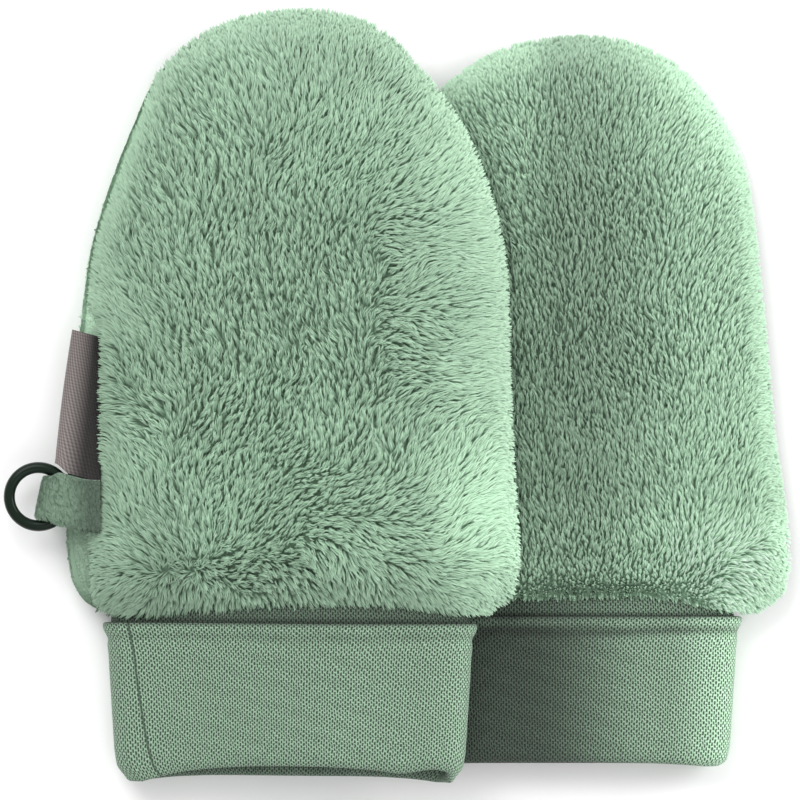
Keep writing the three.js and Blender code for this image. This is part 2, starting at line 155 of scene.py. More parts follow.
# Which way the tips of the left front's pile point, in degrees from +X, with the length of its
# tufts, their height, and how far they part, from 0 for a closed pile to 1. x and y are places on
# the pair.
NAP_COLUMNS = "x y way length rise part"
LEFT_NAP = table(NAP_COLUMNS, [
    (-52, 60, 112, 2.6, 2.3, 0.6),
    (-40, 62, 118, 2.6, 2.4, 0.6),
    (-46, 44, 108, 2.8, 2.4, 0.7),
    (-30, 66, 112, 2.6, 2.4, 0.4),
    (-18, 68, 80, 2.4, 2.4, 0.3),
    (-6, 60, 58, 2.4, 2.4, 0.25),
    (-32, 50, 108, 2.6, 2.5, 0.8),
    (-22, 50, 54, 2.6, 2.5, 0.45),
    (-11, 50, 56, 2.4, 2.4, 0.4),
    (-3, 50, 48, 2.4, 2.3, 0.3),
    (7, 46, 44, 2.6, 2.0, 0.15),
    (-12, 41, 70, 2.4, 2.5, 0.6),
    (1, 42, 24, 2.6, 2.2, 0.35),
    (1, 35, 6, 2.8, 2.1, 0.25),
    (-14, 37, 88, 2.4, 2.6, 0.9),
    (-34, 34, 84, 2.8, 2.6, 0.9),
    (-50, 26, 104, 2.8, 2.4, 0.6),
    (-61, 18, 118, 2.6, 1.9, 0.1),
    (-18, 24, 86, 2.6, 2.7, 1.0),
    (-34, 14, 94, 2.8, 2.8, 1.0),
    (-12, 14, 100, 2.4, 2.7, 1.0),
    (-8, 26, 96, 2.2, 2.7, 1.0),
    (1, 30, 2, 3.0, 2.2, 0.3),
    (5, 22, 34, 2.8, 2.2, 0.3),
    (11, 31, 6, 3.4, 1.6, 0.06),
    (18, 30, 4, 3.6, 1.4, 0.02),
    (18, 10, -2, 3.6, 1.4, 0.02),
    (5, 15, -12, 2.8, 2.2, 0.35),
    (4, 7, -14, 2.6, 2.4, 0.7),
    (10, 4, 6, 3.0, 1.9, 0.08),
    (-8, 4, 96, 2.4, 2.7, 1.0),
    (-26, -2, 70, 2.4, 2.6, 0.85),
    (-41, -6, 58, 2.6, 2.6, 1.0),
    (-50, 0, 108, 2.8, 2.4, 0.8),
    (-54, -5, 166, 2.8, 2.2, 0.7),
    (-59, -8, 120, 2.6, 1.8, 0.1),
    (0, -10, 92, 2.8, 2.7, 0.75),
    (6, -2, 40, 2.6, 2.4, 0.45),
    (9, -16, 66, 2.6, 2.2, 0.25),
    (-14, -12, 96, 2.4, 2.6, 0.75),
    (-20, -13, 34, 2.4, 2.6, 0.7),
    (-32, -14, 52, 2.6, 2.6, 0.75),
    (-46, -20, 102, 2.8, 2.5, 0.7),
    (-56, -20, 114, 2.8, 2.1, 0.2),
    (-51, -31, 124, 3.0, 2.2, 0.55),
    (-41, -29, 102, 3.0, 2.5, 0.8),
    (-34, -28, 74, 2.8, 2.5, 0.6),
    (-29, -23, 54, 2.6, 2.5, 0.45),
    (-19, -22, 30, 2.4, 2.6, 0.5),
    (-12, -20, 24, 2.4, 2.6, 0.45),
    (-3, -21, 40, 2.4, 2.6, 0.5),
    (-28, -31, 24, 2.6, 2.5, 0.6),
    (-34, -35, 14, 2.6, 2.5, 0.8),
    (12, -30, 62, 3.2, 2.2, 0.15),
    (-59, -33, 148, 2.8, 2.0, 0.1),
    (-56, -42, 214, 3.6, 2.2, 0.15),
    (-46, -43, 262, 4.4, 2.4, 0.6),
    (-37, -43, 278, 4.4, 2.4, 0.8),
    (-26, -37, 345, 2.8, 2.6, 0.8),
    (-22, -42, 306, 3.6, 2.6, 1.0),
    (-12, -36, 302, 3.2, 2.6, 0.55),
    (-9, -29, 332, 3.0, 2.6, 0.6),
    (1, -30, 345, 3.0, 2.6, 0.5),
    (-5, -41, 300, 3.4, 2.6, 0.65),
    (5, -41, 320, 3.6, 2.5, 0.4),
    (12, -38, 342, 3.4, 2.3, 0.25),
    (18, -43, 326, 3.4, 2.0, 0.2),
    (20, -24, 8, 3.4, 1.6, 0.03),
])
# The same for the right front, whose nap is short and even.
RIGHT_NAP = table(NAP_COLUMNS, [
    (16, 62, 112, 2.2, 2.0, 0.8),
    (40, 66, 88, 2.2, 2.0, 0.75),
    (60, 56, 66, 2.2, 2.0, 0.6),
    (20, 36, 106, 2.4, 2.1, 1.0),
    (46, 36, 96, 2.4, 2.1, 1.0),
    (66, 30, 74, 2.4, 2.1, 0.75),
    (30, 6, 96, 2.4, 2.2, 1.0),
    (50, 6, 106, 2.4, 2.2, 1.0),
    (70, 0, 84, 2.4, 2.0, 0.65),
    (34, -22, 94, 2.5, 2.2, 0.8),
    (54, -22, 100, 2.5, 2.2, 0.7),
    (72, -24, 76, 2.5, 2.0, 0.5),
    (34, -40, 100, 2.0, 2.0, 0.9),
    (56, -40, 84, 2.2, 2.0, 0.9),
    (77, -40, -30, 3.2, 2.4, 0.9),
])
BACK_NAP = table(NAP_COLUMNS, [
    (-62, 50, 135, 1.8, 1.0, 0.1),
    (-66, 0, 170, 1.8, 1.0, 0.1),
    (-64, -36, 185, 1.8, 1.0, 0.1),
    (-24, 70, 95, 1.8, 1.0, 0.1),
    (-24, -20, 95, 1.8, 1.0, 0.1),
    (60, 60, 50, 1.8, 1.0, 0.1),
    (78, -10, 10, 1.8, 1.0, 0.1),
    (40, -20, 90, 1.8, 1.0, 0.1),
])
LOOP_NAP = table(NAP_COLUMNS, [
    (0, 0, -75, 1.0, 0.45, 0.4),
])

# How far the cloth reaches beyond its inset, by the direction from the mitten's middle in degrees.
# The left front lets a narrow strip of its back show on the left, and stays off the loop.
SPREAD = {
    "left_front": table("way out", [
        (80, 0.75),
        (90, 0.6),
        (97, 1.2),
        (105, 1.5),
        (113, 1.2),
        (118, 0.9),
        (123, 0.45),
        (134, 1.0),
        (139, 1.4),
        (144, 1.8),
        (152, 2.1),
        (160, 2.1),
        (168, 2.5),
        (172, 2.5),
        (177, 0.3),
        (221, 0.3),
        (225, 3.2),
        (233, 2.9),
        (238, 1.0),
        (246, 0.5),
    ]),
    "left_back": table("way out", [
        (90, 0.3),
        (98, 0.9),
        (107, 1.4),
        (120, 1.2),
        (225, 1.2),
        (238, 1.7),
        (246, 1.3),
        (254, 0.3),
    ]),
    "right_front": table("way out", [
        (0, 0.4),
        (20, 0.6),
        (33, 0.9),
        (60, 1.0),
        (90, 1.0),
        (125, 1.3),
        (150, 0.8),
        (310, 0.8),
        (330, 0.4),
    ]),
    "right_back": table("way out", [
        (0, 0.3),
    ]),
}

# Where the right front goes in under the left mitten, and how far it is made beyond that.
RIGHT_EDGE = table("y x", [
    (-44, 20.0),
    (-30, 25.4),
    (0, 23.5),
    (20, 23.0),
    (40, 19.5),
    (55, 13.8),
    (62, 10.5),
    (70, 3.0),
    (80, -18.0),
])
HIDDEN_REACH = 7.0
# The pile's and the cuffs' least heights above the floor.
OFF_FLOOR = 0.08
CUFF_OFF_FLOOR = 0.03

# How the cloth lies in its CAD panel: how far inside its edge, how full, how far under its inner
# face it begins and how far it rises from there, and how steep its rim is. Then how far inside the
# front's edge the back's rolled rim ends, how far inside its own edge a panel's heights are sure,
# and how much longer and wider a cloth is flat.
INSETS = {"left": 1.25, "right": 1.15, "back": 1.2}
FULLNESS = {"front": 0.55, "back": 0.84}
UNDER_FACE = 0.3
CLOTH_RISE = 0.7
RIM_POWER = 6
ROLL_INSET = 1.2
PANEL_EDGE = 1.1
FLAT_EXTRA = 3.0

# Screen colours (0 to 255) of each material.
SHADES = {
    # pile_root is dark for the painted shade down at the roots where tufts part.
    "pile_root": (95, 123, 100),
    "pile_middle": (130, 164, 136),
    "pile_tip": (206, 240, 210),
    "knit_light": (152, 183, 156),
    "knit_dark": (42, 60, 47),
    "seam": (46, 64, 51),
    "label_light": (142, 137, 135),
    "label_dark": (84, 78, 76),
    "fleece": (98, 122, 102),
    "ring": (16, 30, 21),
    "floor": (250, 250, 250),
}


def linear(shade):
    """The screen colour of that name as linear light."""
    value = np.array(SHADES[shade]) / 255
    return np.where(value <= 0.04045, value / 12.92, ((value + 0.055) / 1.055) ** 2.4)


def unit(vectors):
    """Each vector at length 1."""
    return vectors / np.maximum(np.linalg.norm(vectors, axis=-1, keepdims=True), 1e-9)


def smooth(value, low, high):
    """Smoothstep: 0 below low, 1 above high, 3 s^2 - 2 s^3 between."""
    share = np.clip((value - low) / (high - low), 0, 1)
    return share * share * (3 - 2 * share)


def node_centre(node):
    """The middle of a CAD node's box in millimetres."""
    low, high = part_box(node)
    return (np.array(low) + np.array(high)) / 2 / MM


# Slots of a mix node's colours.
FIRST_COLOUR, SECOND_COLOUR, MIXED_COLOUR = 6, 7, 2

# How far the whole pair was moved when it was centred.
SHIFT = node_centre("hanging_ring")[:2] - LEFT_PLACE - RING_LOCAL


def make_mesh(name, points, faces, material, body="mittens", uv=None, colours=None, normals=None):
    """One mesh object from points (n, 3) in millimetres and faces (m, 3) or (m, 4)."""
    mesh = bpy.data.meshes.new(name)
    mesh.vertices.add(len(points))
    mesh.vertices.foreach_set("co", (np.asarray(points, float) * MM).ravel())
    mesh.loops.add(faces.size)
    mesh.loops.foreach_set("vertex_index", faces.ravel().astype(np.int32))
    mesh.polygons.add(len(faces))
    mesh.polygons.foreach_set("loop_start", np.arange(0, faces.size, faces.shape[1], dtype=np.int32))
    mesh.polygons.foreach_set("use_smooth", np.ones(len(faces), bool))
    mesh.update(calc_edges=True)
    if uv is not None:
        layer = mesh.uv_layers.new(name="flat")
        layer.data.foreach_set("uv", uv[faces.ravel()].astype(np.float32).ravel())
    if colours is not None:
        tint = mesh.color_attributes.new("tint", "FLOAT_COLOR", "POINT")
        tint.data.foreach_set("color", np.c_[colours, np.ones(len(colours))].astype(np.float32).ravel())
    if normals is not None:
        mesh.normals_split_custom_set_from_vertices(normals)
    mesh.materials.append(material)
    piece = bpy.data.objects.new(name, mesh)
    bpy.context.scene.collection.objects.link(piece)
    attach(piece, body)
    return piece


def grid_faces(rows, columns, closed):
    """Quads of a grid of points, its columns joined round when closed."""
    r = np.arange(rows - 1)[:, None]
    c = np.arange(columns if closed else columns - 1)[None, :]
    after = (c + 1) % columns
    quad = [r * columns + c, r * columns + after, (r + 1) * columns + after, (r + 1) * columns + c]
    return np.stack([np.broadcast_to(q, (rows - 1, c.size)) for q in quad], -1).reshape(-1, 4)


class Panel:
    """Outline and heights of one CAD panel, seen from its mitten's middle."""

    def __init__(self, node, centre):
        """The outline is the furthest point in each narrow sector round the centre."""
        mesh = NODES[node].data
        points = np.empty(len(mesh.vertices) * 3)
        mesh.vertices.foreach_get("co", points)
        points = points.reshape(-1, 3) / MM
        self.centre = centre
        self.tree = BVHTree.FromPolygons(points.tolist(), [tuple(p.vertices) for p in mesh.polygons])
        rel = points[:, :2] - centre
        reach = np.hypot(rel[:, 0], rel[:, 1])
        angle = np.arctan2(rel[:, 1], rel[:, 0])[reach > 5]
        reach = reach[reach > 5]
        order = np.argsort(angle)
        starts = np.flatnonzero(np.diff(angle[order], prepend=-9) > 0.004)
        self.angles = angle[order][starts]
        self.reaches = np.maximum.reduceat(reach[order], starts)

    def reach(self, angle):
        """How far the outline is from the centre in that direction."""
        return np.interp(angle, self.angles, self.reaches, period=TURN)

    def heights(self, places, downwards):
        """Where a vertical ray meets the panel first, from above or from below."""
        start, way = (90.0, Vector((0, 0, -1))) if downwards else (-90.0, Vector((0, 0, 1)))
        flat = places.reshape(-1, 2)
        found = [self.tree.ray_cast(Vector((x, y, start)), way)[0] for x, y in flat]
        values = np.array([np.nan if hit is None else hit.z for hit in found])
        return values.reshape(places.shape[:-1])


def painted_light_and_shade(side, x, y):
    """Painted light and shade: how much lighter or darker a front's pile is from place to place, as if lit
    from the right, with painted shade where one part shades another.
    """
    if side == "left":
        low = smooth(-y, -10, 25)
        top = smooth(y, 34, 44) * (1 - smooth(y, 56, 66)) * smooth(x, -26, -12)
        at_left = 0.25 - 0.13 * smooth(y, 0, 20)
        beside_left = smooth(x, -58, -52) * (1 - smooth(x, -48, -38))
        corner = smooth(-y, 15, 25)
        shade = 1 - at_left * (1 - smooth(x, -60, -52)) - (0.07 + 0.16 * corner) * beside_left
        middle = smooth(x, -44, -36) * (1 - smooth(x, -14, -4))
        middle = middle * smooth(y, -26, -14) * (1 - smooth(y, 6, 16))
        lowest = 0.19 * smooth(-y, 32, 38) + 0.08 * smooth(-y, 38, 44)
        shade = shade * (1.03 - lowest + 0.06 * middle)
        return shade * (1 + 0.26 * smooth(x, 0, 16) * low) * (1 + 0.1 * low) * (1 + 0.13 * top)
    across = 0.69 + 0.5 * smooth(x, 38, 66) + 0.26 * (1 - smooth(x, 25, 34))
    upper = 1 + 0.17 * smooth(y, 30, 55) + 0.06 * smooth(y, 58, 68)
    return across * (1 + 0.29 * smooth(-y, 20, 32)) * upper


def strip_share(outwards):
    """1 in the left mitten's left strip, where its back shows beside its front, with a short pile."""
    return smooth(-outwards[..., :1], 0.3, 0.5)


def strip_light(style, outwards, y):
    """Painted light: how much lighter the left mitten's back is in that strip, above the label, than
    elsewhere.
    """
    return 0.55 * style["strip"] * strip_share(outwards) * smooth(y, 0, 15)


def over_label(y):
    """1 beside the label, whose right part lies under the front's fur."""
    return smooth(y, -17, -13) * (1 - smooth(y, 11, 15))


def backing(panel, faces_up, inset, depth, spread, roll=None, rows=40, columns=240):
    """Points and normals of the cloth under the pile, as a dish over the panel's inner face.

    P(a, s) = centre + (s (R(a) - inset) + spread(a) s^6) (cos a, sin a) and z = inner - under +
    (rise + depth (outer - inner)) sqrt(1 - s^6), for shares s = sin of 0 to 90 degrees. With roll,
    more rows lead from the rim back over the top to that other panel's edge.
    """
    angle = np.arange(columns) * TURN / columns
    share = np.sin(np.linspace(0.004, 1, rows) * math.pi / 2)[:, None]
    ray = np.stack([np.cos(angle), np.sin(angle)], -1)
    reach = panel.reach(angle) - inset
    places = panel.centre + (share * reach)[..., None] * ray
    inner = panel.heights(places, not faces_up)
    outer = panel.heights(places, faces_up)
    further = np.interp(np.degrees(angle), spread["way"], spread["out"])
    further = further * share**RIM_POWER
    places = places + further[..., None] * ray
    if faces_up:
        # What reaches further hangs lower, onto the back's rim.
        inner = inner - 0.25 * further
    rise = (CLOTH_RISE + depth * np.abs(outer - inner)) * np.sqrt(1 - share**RIM_POWER) - UNDER_FACE
    z = inner + np.sign(outer - inner) * rise
    shares = np.broadcast_to(share, z.shape)
    if roll is not None:
        reach = reach + further[-1]
        inward = np.minimum(reach, roll.reach(angle) - ROLL_INSET)
        rolled = reach + (inward - reach) * np.linspace(0.12, 1, 8)[:, None]
        edge = panel.centre + rolled[..., None] * ray
        # Heights near the panel's own edge aren't sure, so they are taken a little inside it.
        sure = np.minimum(rolled, panel.reach(angle) - PANEL_EDGE)
        top = panel.heights(panel.centre + sure[..., None] * ray, True)
        top = top + 0.12 - 0.82 * smooth(reach - inward, 1.4, 3.5)
        places = np.concatenate([places, edge])
        z = np.concatenate([z, top])
        shares = np.concatenate([shares, np.ones_like(top)])
    missed = np.isnan(z)
    z[missed] = np.interp(np.flatnonzero(missed.ravel()), np.flatnonzero(~missed.ravel()), z[~missed])
    points = np.dstack([places, z])
    round_way = np.roll(points, -1, 1) - np.roll(points, 1, 1)
    out_way = np.gradient(points, axis=0)
    normals = unit(np.cross(out_way, round_way)) * (1 if faces_up else -1)
    return {"points": points, "normals": normals, "share": shares, "slope": out_way}


def turned(ways, angle):
    """Flat directions turned to the left by an angle each."""
    cos, sin = np.cos(angle), np.sin(angle)
    return np.stack([ways[:, 0] * cos - ways[:, 1] * sin, ways[:, 0] * sin + ways[:, 1] * cos], -1)


def wandering(x, y):
    """A smooth field from -1 to 1 that changes over 4 to 12 mm."""
    wide = np.sin(x / 4.3 + 1.7 * np.sin(y / 6.1)) * np.sin(y / 3.7 + 1.4 * np.sin(x / 5.3))
    fine = np.sin(x / 1.9 - y / 2.7 + 2.1 * np.sin(x / 7.7)) * np.sin(y / 1.7 + x / 3.1)
    return 0.65 * wide + 0.35 * fine


def nearest_tuft(places, comb, spacing, stretch, table):
    """The nearest centre of a jittered grid of tufts, longer along the nap than across it.

    The last value is 1 at a tuft's centre and falls to 0 at its edge.
    """
    cell = np.floor(places / spacing)
    best = np.full(len(places), np.inf)
    centre = np.zeros_like(places)
    luck = np.zeros((len(places), table.shape[2]))
    for dx in (-2, -1, 0, 1, 2):
        for dy in (-2, -1, 0, 1, 2):
            other = cell + (dx, dy)
            row = table[other[:, 0].astype(int) % len(table), other[:, 1].astype(int) % len(table)]
            spot = (other + row[:, :2]) * spacing
            rel = places - spot
            along = (rel * comb).sum(1) / stretch
            across = rel[:, 0] * comb[:, 1] - rel[:, 1] * comb[:, 0]
            far = along**2 + across**2
            closer = far < best
            best = np.where(closer, far, best)
            centre[closer] = spot[closer]
            luck[closer] = row[closer]
    core = np.clip(1 - np.sqrt(best) / (0.62 * spacing), 0, 1)
    return centre, luck, core[:, None]


def nap_at(places, nap):
    """Direction, length, height and parting of the pile between a table's places, nearest first.

    The direction is shorter than 1 where the ways of the nearest places differ.
    """
    spots = np.stack([nap["x"], nap["y"]], -1)
    way = np.radians(nap["way"])
    away = ((places[:, None, :] - spots) ** 2).sum(-1)
    weight = 1 / (away + 14) ** 2
    weight /= weight.sum(1, keepdims=True)
    comb = weight @ np.stack([np.cos(way), np.sin(way)], -1)
    return comb, weight @ nap["length"], weight @ nap["rise"], weight @ nap["part"]


def pile_colour(tone):
    """The pile's colour for tones from 0 at a dark root to 1 at a light tip."""
    share = np.clip(tone, 0, 1)[..., None]
    dark, mid, light = linear("pile_root"), linear("pile_middle"), linear("pile_tip")
    return np.where(share < 0.5, dark + (mid - dark) * share * 2, mid + (light - mid) * (share * 2 - 1))


def away_from_cuff(outwards):
    """1 for a direction away from the cuff, 0 straight towards it."""
    return smooth(outwards[..., 1:2], -0.96, -0.72)


def backing_colours(form, nap, style):
    """The cloth under the pile: painted shade where tufts part, as light as the pile where it is closed and
    lighter at the rim, times the painted light and shade of the place.
    """
    places = form["points"][..., :2].reshape(-1, 2)
    part = nap_at(places, nap)[3]
    rim = smooth(form["share"].reshape(-1), style["edge_from"], 0.995)
    rim = rim * away_from_cuff(unit(places - style["centre"]))[:, 0]
    shade = painted_light_and_shade(style["side"], *places.T) if style["side"] else np.ones(len(places))
    light = style["dim"] + strip_light(style, unit(places - style["centre"]), places[:, 1:])[:, 0]
    shade = shade * light
    return pile_colour(np.maximum(0.08 + 0.4 * (1 - part), 0.8 * rim)) * shade[:, None]


def pile(name, form, nap, style, count, seed, keep=None):
    """Blades of pile on a cloth form, as one mesh of three triangles each.

    A blade leads from its root to tip = root + lift n + run c + pull + stray, with n the cloth's
    normal, c the nap's way, and pull towards its tuft's middle. Its middle is at 0.72 of the lift
    and 0.3 of the run. keep thins the blades out where it is under 1.
    """
    rng = np.random.default_rng(seed)
    points, normals, share = form["points"], form["normals"], form["share"]
    rows, columns = share.shape
    after = np.roll(points, -1, 1)
    area = np.linalg.norm(np.cross(after[:-1] - points[:-1], points[1:] - points[:-1]), axis=-1)
    if keep is not None:
        area = area * keep(points[:-1], share[:-1])
    total = np.cumsum(area.ravel())
    cell = np.searchsorted(total, rng.random(count) * total[-1])
    row, col = np.divmod(np.minimum(cell, area.size - 1), columns)
    down, over = rng.random((2, count, 1))
    right = (col + 1) % columns

    def between(field):
        upper = field[row, col] * (1 - over) + field[row, right] * over
        lower = field[row + 1, col] * (1 - over) + field[row + 1, right] * over
        return upper * (1 - down) + lower * down

    root = between(points)
    normal = unit(between(normals))
    edge = smooth(between(share[..., None])[:, 0], style["edge_from"], 0.995)[:, None]
    comb, length, rise, part = nap_at(root[:, :2], nap)
    x, y = root[:, 0], root[:, 1]
    agree = np.linalg.norm(comb, axis=1)
    comb = unit(comb + style["wander"] * np.stack([wandering(x, y), wandering(y + 40, x - 20)], -1))
    outwards = unit(root[:, :2] - style["centre"])
    rim = edge * away_from_cuff(outwards)
    part = part[:, None] * (1 - rim)
    left = style["soft"] * strip_share(outwards)
    outward = 0.7 * rim * (1 - 0.5 * left * (1 - over_label(root[:, 1:2])))
    comb = unit(comb * (1 - outward) + outwards * outward)
    table = rng.random((257, 257, 6))
    centre, luck, core = nearest_tuft(root[:, :2], comb, style["spacing"], style["stretch"], table)

    # Each tuft leans its own way, and each blade a little differently.
    swing = style["swing"] * ((luck[:, 2] - 0.5) * 2 + 0.3 * rng.normal(size=count)) * (1 - 0.6 * rim[:, 0])
    swing *= (0.45 + 0.55 * part[:, 0]) * (1 + 6 * (1 - agree) ** 2)
    comb = turned(comb, swing)
    flat_comb = np.c_[comb, np.zeros(count)]
    flat_comb -= 0.85 * normal * (flat_comb * normal).sum(1, keepdims=True)
    # Over a rim's steep side the pile hangs down.
    slope = unit(between(form["slope"]))
    hang = np.abs(slope[:, 2:]) * edge
    flat_comb = flat_comb * (1 - hang) - np.sign(slope[:, 2:]) * slope * hang
    rel = np.c_[centre - root[:, :2], np.zeros(count)]
    rel -= normal * (rel * normal).sum(1, keepdims=True)
    rel *= np.minimum(1, 2.0 / np.maximum(np.linalg.norm(rel, axis=1, keepdims=True), 1e-6))
    along = (rel * flat_comb).sum(1, keepdims=True) * flat_comb
    pull = (style["pull"] * (rel - along) + 0.45 * along) * (0.05 + 0.95 * part)
    uneven = 0.25 + 0.75 * part[:, 0]
    lift = rise * (0.97 + 0.5 * uneven * (luck[:, 3] - 0.5)) * (0.9 + 0.2 * rng.random(count))
    lift = lift[:, None] * style["rise"]
    lift *= 1 - 0.4 * part * (1 - core)
    run = length * (0.95 + 0.6 * uneven * (luck[:, 4] - 0.5)) * (0.85 + 0.3 * rng.random(count))
    run = run[:, None] * style["run"]
    bushy = style["bushy"] * rim * (1 - style["strip"] * strip_share(outwards))
    lift = lift * (1 - edge) + edge * (style["edge"] + bushy) * (0.92 + 0.1 * luck[:, 3:4])
    run = run * (1 - 0.4 * edge - 0.5 * rim * (1 - left)) * (0.6 + 0.4 * agree[:, None]) + 1.1 * hang
    cover = left * edge * over_label(root[:, 1:2])
    lift, run = lift + 0.9 * cover, run + 1.3 * cover
    stray = rng.normal(size=(count, 3)) * style["stray"]

    middle = root + normal * lift * 0.72 + flat_comb * run * 0.30 + pull * 0.6 + stray * 0.3
    tip = root + normal * lift + flat_comb * run + pull + stray
    for ends in (middle, tip):
        ends[:, 2] = np.maximum(ends[:, 2], OFF_FLOOR)

    side = unit(np.cross(tip - root, normal))
    twist = rng.normal(size=(count, 1)) * 0.22
    side = unit(side + twist * normal)
    wide = style["width"] * (0.75 + 0.5 * rng.random((count, 1))) * (1 + 0.45 * edge)
    half = side * wide * 0.5
    blade = np.stack([root - half, root + half, middle - half, middle + half, tip], 1)
    first = np.arange(count)[:, None] * 5
    faces = np.concatenate([first + [0, 1, 3], first + [0, 3, 2], first + [2, 3, 4]], 1)

    # Painted shade where tufts part: dark at the root and light at the tip; even where the pile is closed.
    parted = np.array([[0.05, 0.05, 0.42, 0.42, 1.0]])
    closed = np.array([[0.6, 0.6, 0.68, 0.68, 0.8]])
    tone = (closed + (parted - closed) * part) * (0.9 + 0.2 * rng.random((count, 1)))
    # Painted shade at the tufts' edges where they part.
    tone = tone * (1 - 0.4 * part * (1 - core))
    # edge_light is painted light at the rim, lightest where the rim faces right; below 0 it is painted
    # shade.
    tone = tone + style["edge_light"] * rim * (0.3 + 0.7 * outwards[:, :1])
    mottle = 0.99 + style["mottle"] * (0.3 + 0.7 * part) * (luck[:, 5:6] - 0.5)
    mottle = mottle + 0.04 * rng.normal(size=(count, 1))
    # Painted light and shade from place to place, and the form's tint of painted shade where it has one.
    shade = mottle[..., None] * (style["dim"] + strip_light(style, outwards, root[:, 1:2])[..., None])
    if style["side"]:
        shade = shade * painted_light_and_shade(style["side"], *root[:, :2].T)[:, None, None]
    if "tint" in form:
        shade = shade * between(form["tint"][..., None])[..., None]
    colour = np.clip(pile_colour(tone) * shade, 0, 1)
    bent = unit(np.cross(side, tip - root))
    bent *= np.sign((bent * normal).sum(1, keepdims=True))
    lock = -(rel - along) / (0.5 * style["spacing"]) * part
    shading = unit((0.08 + 0.12 * part) * bent + 0.8 * normal + style["lock"] * lock)
    return make_mesh(
        name,
        blade.reshape(-1, 3),
        faces.reshape(-1, 3),
        PILE,
        colours=colour.reshape(-1, 3),
        normals=np.repeat(shading, 5, 0),
    )


def finish_of(material):
    """The material's surface node."""
    return material.node_tree.nodes["Principled BSDF"]


def plain_material(name, shade, roughness, sheen=0.0):
    """One even colour with a roughness and a sheen."""
    material = bpy.data.materials.new(name)
    material.use_nodes = True
    bsdf = finish_of(material)
    bsdf.inputs["Base Color"].default_value = paint(shade)
    bsdf.inputs["Roughness"].default_value = roughness
    bsdf.inputs["Sheen Weight"].default_value = sheen
    bsdf.inputs["Sheen Roughness"].default_value = 0.45
    return material


def link(material, source, target):
    """Joins one node's output to another's input."""
    material.node_tree.links.new(source, target)


def feed(material, value, target):
    """Joins an output to an input, or sets a plain value there."""
    if hasattr(value, "links"):
        link(material, value, target)
    else:
        target.default_value = value


def add(material, kind, **values):
    """A new node with its inputs or settings of those names."""
    node = material.node_tree.nodes.new(kind)
    for key, value in values.items():
        if key in node.inputs:
            node.inputs[key].default_value = value
        else:
            setattr(node, key, value)
    return node


def maths(material, operation, *values):
    """A maths node's result for one or two outputs or plain numbers."""
    node = add(material, "ShaderNodeMath", operation=operation)
    for slot, value in enumerate(values):
        feed(material, value, node.inputs[slot])
    return node.outputs[0]


def paint(shade):
    """The screen colour of that name for a colour input."""
    return (*linear(shade), 1)


def mixed(material, share, first, second, blend="MIX"):
    """The first colour with a share of the second one, or of their product."""
    node = add(material, "ShaderNodeMix", data_type="RGBA", blend_type=blend)
    feed(material, share, node.inputs["Factor"])
    feed(material, first, node.inputs[FIRST_COLOUR])
    feed(material, second, node.inputs[SECOND_COLOUR])
    return node.outputs[MIXED_COLOUR]


def tinted(material, colour):
    """Makes the colour times the mesh's own tint the base colour."""
    tint = add(material, "ShaderNodeVertexColor", layer_name="tint")
    shaded = mixed(material, 1.0, colour, tint.outputs["Color"], "MULTIPLY")
    link(material, shaded, finish_of(material).inputs["Base Color"])


def raised(material, height, strength, distance):
    """Makes that pattern a bump on the surface."""
    bump = add(material, "ShaderNodeBump", Strength=strength, Distance=distance)
    link(material, height, bump.inputs["Height"])
    link(material, bump.outputs["Normal"], finish_of(material).inputs["Normal"])


def pile_material(name):
    """The tint of each blade, a little uneven from place to place, with a soft sheen."""
    material = plain_material(name, "pile_middle", 0.62, 0.25)
    bsdf = finish_of(material)
    bsdf.inputs["Sheen Tint"].default_value = paint("pile_tip")
    tint = add(material, "ShaderNodeVertexColor", layer_name="tint")
    where = add(material, "ShaderNodeTexCoord")
    noise = add(material, "ShaderNodeTexNoise", Scale=70.0, Detail=3.0)
    link(material, where.outputs["Object"], noise.inputs["Vector"])
    share = maths(material, "MULTIPLY", noise.outputs["Fac"], 0.28)
    colour = mixed(material, share, tint.outputs["Color"], paint("pile_root"))
    link(material, colour, bsdf.inputs["Base Color"])
    return material


def ramp(material, value, low, high):
    """0 below low, 1 above high and a smooth step between."""
    node = add(material, "ShaderNodeMapRange", interpolation_type="SMOOTHSTEP")
    node.inputs["From Min"].default_value = low
    node.inputs["From Max"].default_value = high
    link(material, value, node.inputs["Value"])
    return node.outputs[0]


